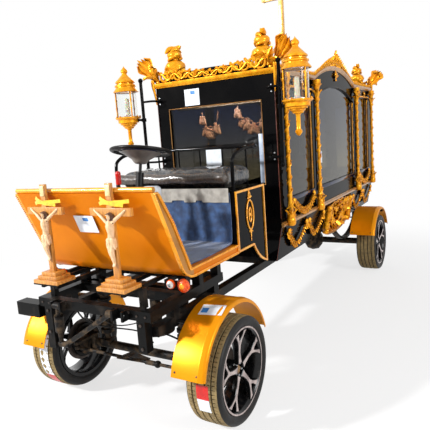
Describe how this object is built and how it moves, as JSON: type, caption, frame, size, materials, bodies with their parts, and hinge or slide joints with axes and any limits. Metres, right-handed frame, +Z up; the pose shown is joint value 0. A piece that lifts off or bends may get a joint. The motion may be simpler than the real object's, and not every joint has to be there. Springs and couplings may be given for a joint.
{
  "type": "carriage-style motor hearse",
  "caption": "Carriage-bodied motor hearse with open bench, glazed load body, steered front axle, turning wheels and a hinged pair of rear doors.",
  "frame": {"origin": "on the ground at the centre of the vehicle's bounding box", "axes": "+X forward, +Y to the vehicle's left, +Z up"},
  "size_m": [4.399, 1.5656, 2.96],
  "materials": {
    "black_gloss": "gloss black paint",
    "black_frame": "satin black paint, dusty",
    "black_tube": "gloss black enamel",
    "axle_steel": "dusty black paint",
    "gilt": "gold paint over carved relief",
    "gold_dash": "glossy orange-gold paint",
    "gold_fender": "glossy gold paint",
    "floor_gold": "navy carpet on the floor",
    "seat_fabric": "dark figured fabric under clear film",
    "control_plastic": "black plastic",
    "deck_wood": "dark stained boards",
    "glass": "clear flat glass",
    "candle_wax": "cream wax-like plastic",
    "oak": "light varnished oak",
    "ivory_resin": "painted cast resin",
    "lamp_lens": "moulded lens",
    "tyre": "rubber with dusty tread",
    "alloy": "gloss black with machined faces"
  },
  "bodies": {
    "chassis": {"chassis_frame": "black_frame", "front_axle": "axle_steel", "rear_axle": "axle_steel", "drive_motor": "axle_steel", "suspension": "axle_steel", "brake_servo": "axle_steel", "front_fenders": "gold_fender", "rear_fenders": "gold_fender", "floor_tray": "floor_gold", "dash_board": "gold_dash", "cab_trim": "gilt", "seat_box": "black_gloss", "seat_cushion": "seat_fabric", "seat_rail": "black_tube", "driver_controls": "control_plastic", "front_wall": "black_gloss", "rear_frame": "black_gloss", "roof": "black_gloss", "load_deck": "deck_wood", "window_glass": "glass", "columns": "gilt", "mouldings": "gilt", "cresting": "gilt", "corner_leaves": "gilt", "roof_ornaments": "gilt", "lanterns": "gilt", "lantern_glass": "glass", "candles": "candle_wax", "lantern_poles": "black_tube", "carvings": "gilt", "crosses": "oak", "figures": "ivory_resin", "running_lamps": "lamp_lens", "side_wall_left": "black_gloss", "side_wall_right": "black_gloss"},
    "knuckle_left": {"knuckle_left": "axle_steel"},
    "knuckle_right": {"knuckle_right": "axle_steel"},
    "tie_rod": {"tie_rod": "axle_steel"},
    "steering_wheel": {"steering_wheel": "control_plastic"},
    "door_left": {"rear_door_left": "black_gloss", "rear_door_glass_left": "glass"},
    "door_right": {"rear_door_right": "black_gloss", "rear_door_glass_right": "glass"},
    "wheel_front_left": {"tyre_front_left": "tyre", "rim_front_left": "alloy"},
    "wheel_front_right": {"tyre_front_right": "tyre", "rim_front_right": "alloy"},
    "wheel_rear_left": {"tyre_rear_left": "tyre", "rim_rear_left": "alloy"},
    "wheel_rear_right": {"tyre_rear_right": "tyre", "rim_rear_right": "alloy"}
  },
  "joints": [
    {"name": "steering_wheel_turn", "type": "hinge", "parent": "chassis", "child": "steering_wheel", "pos_m": [1.59604, 0, 1.45], "axis": [-0.2079, 0, 0.9781], "range_deg": [-300, 300]},
    {"name": "steer_left", "type": "hinge", "parent": "chassis", "child": "knuckle_left", "pos_m": [1.72604, 0.4, 0.287], "axis": [0, 0, 1], "range_deg": [-25, 25]},
    {"name": "steer_right", "type": "hinge", "parent": "chassis", "child": "knuckle_right", "pos_m": [1.72604, -0.4, 0.287], "axis": [0, 0, 1], "range_deg": [-25, 25]},
    {"name": "tie_rod_pivot", "type": "hinge", "parent": "knuckle_left", "child": "tie_rod", "pos_m": [1.87604, 0.4, 0.308], "axis": [0, 0, 1], "range_deg": [-25, 25]},
    {"name": "front_left_spin", "type": "hinge", "parent": "knuckle_left", "child": "wheel_front_left", "pos_m": [1.72604, 0.5575, 0.287], "axis": [0, 1, 0], "continuous": true},
    {"name": "front_right_spin", "type": "hinge", "parent": "knuckle_right", "child": "wheel_front_right", "pos_m": [1.72604, -0.5575, 0.287], "axis": [0, 1, 0], "continuous": true},
    {"name": "rear_left_spin", "type": "hinge", "parent": "chassis", "child": "wheel_rear_left", "pos_m": [-1.36096, 0.6385, 0.287], "axis": [0, 1, 0], "continuous": true},
    {"name": "rear_right_spin", "type": "hinge", "parent": "chassis", "child": "wheel_rear_right", "pos_m": [-1.36096, -0.6385, 0.287], "axis": [0, 1, 0], "continuous": true},
    {"name": "door_left_swing", "type": "hinge", "parent": "chassis", "child": "door_left", "pos_m": [-2.15496, 0.41, 1.34], "axis": [0, 0, 1], "range_deg": [-110, 0]},
    {"name": "door_right_swing", "type": "hinge", "parent": "chassis", "child": "door_right", "pos_m": [-2.15496, -0.41, 1.34], "axis": [0, 0, 1], "range_deg": [0, 110]}
  ],
  "couplings": [
    {"joint": "steer_left", "follows": "steering_wheel_turn", "ratio": 0.083333},
    {"joint": "steer_right", "follows": "steering_wheel_turn", "ratio": 0.083333},
    {"joint": "tie_rod_pivot", "follows": "steering_wheel_turn", "ratio": -0.083333}
  ]
}
